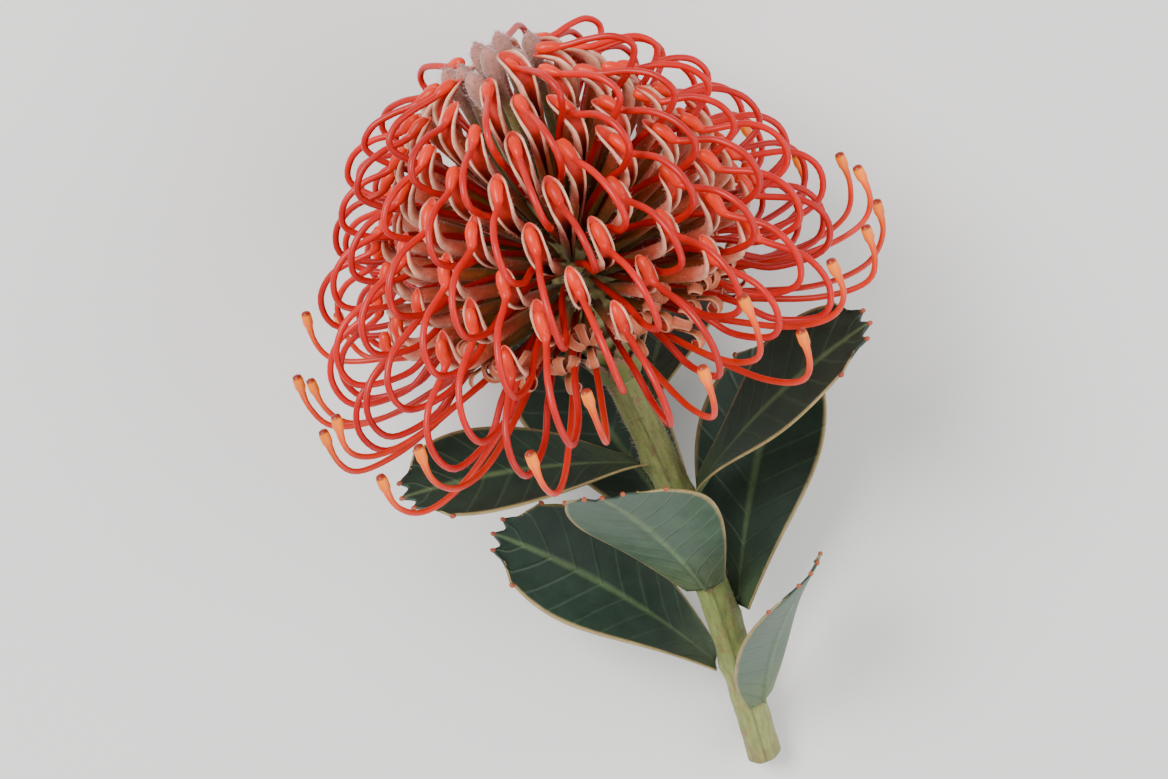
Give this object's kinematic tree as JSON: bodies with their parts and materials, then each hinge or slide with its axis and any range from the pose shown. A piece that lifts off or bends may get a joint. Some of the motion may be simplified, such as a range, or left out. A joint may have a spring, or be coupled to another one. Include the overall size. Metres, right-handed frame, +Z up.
{
  "type": "pincushion protea flower",
  "caption": "Cut pincushion protea with a domed head of looped red styles, orange club tips and toothed leaves, lying on a surface.",
  "frame": {"origin": "on the surface the flower lies on, under the middle of its outline", "axes": "+Y from the cut end of the stem towards the flower head, +Z up from the surface, +X across"},
  "size_m": [0.1318, 0.1748, 0.1122],
  "materials": {
    "perianth": "downy petal sheath, cream below and rose at the lips",
    "looped_style": "smooth waxy coral-red style",
    "open_style": "smooth waxy orange-red style with an orange tip",
    "receptacle": "woolly plant cone",
    "bract": "tough hairy bract",
    "stem": "green woody stem with short hairs",
    "leaf": "leathery leaf, satin"
  },
  "bodies": {
    "root": {"perianths_row_01": "perianth", "perianths_row_02": "perianth", "perianths_row_03": "perianth", "perianths_row_04": "perianth", "perianths_row_05": "perianth", "perianths_row_06": "perianth", "perianths_row_07": "perianth", "perianths_row_08": "perianth", "perianths_row_09": "perianth", "perianths_row_10": "perianth", "perianths_row_11": "perianth", "perianths_row_12": "perianth", "perianths_row_13": "perianth", "looped_styles_row_01": "looped_style", "looped_styles_row_02": "looped_style", "looped_styles_row_03": "looped_style", "looped_styles_row_04": "looped_style", "looped_styles_row_05": "looped_style", "looped_styles_row_06": "looped_style", "looped_styles_row_07": "looped_style", "looped_styles_row_08": "looped_style", "looped_styles_row_09": "looped_style", "looped_styles_row_10": "looped_style", "looped_styles_row_11": "looped_style", "looped_styles_row_12": "looped_style", "looped_styles_row_13": "looped_style", "open_styles_row_01": "open_style", "open_styles_row_02": "open_style", "open_styles_row_03": "open_style", "open_styles_row_04": "open_style", "open_styles_row_05": "open_style", "open_styles_row_06": "open_style", "open_styles_row_07": "open_style", "open_styles_row_08": "open_style", "open_styles_row_09": "open_style", "open_styles_row_10": "open_style", "open_styles_row_11": "open_style", "open_styles_row_12": "open_style", "open_styles_row_13": "open_style", "receptacle": "receptacle", "involucre_whorl_1": "bract", "involucre_whorl_2": "bract", "involucre_whorl_3": "bract", "stem": "stem", "leaf_01": "leaf", "leaf_02": "leaf", "leaf_03": "leaf", "leaf_04": "leaf", "leaf_05": "leaf", "leaf_06": "leaf", "leaf_07": "leaf", "leaf_08": "leaf"}
  },
  "joints": []
}
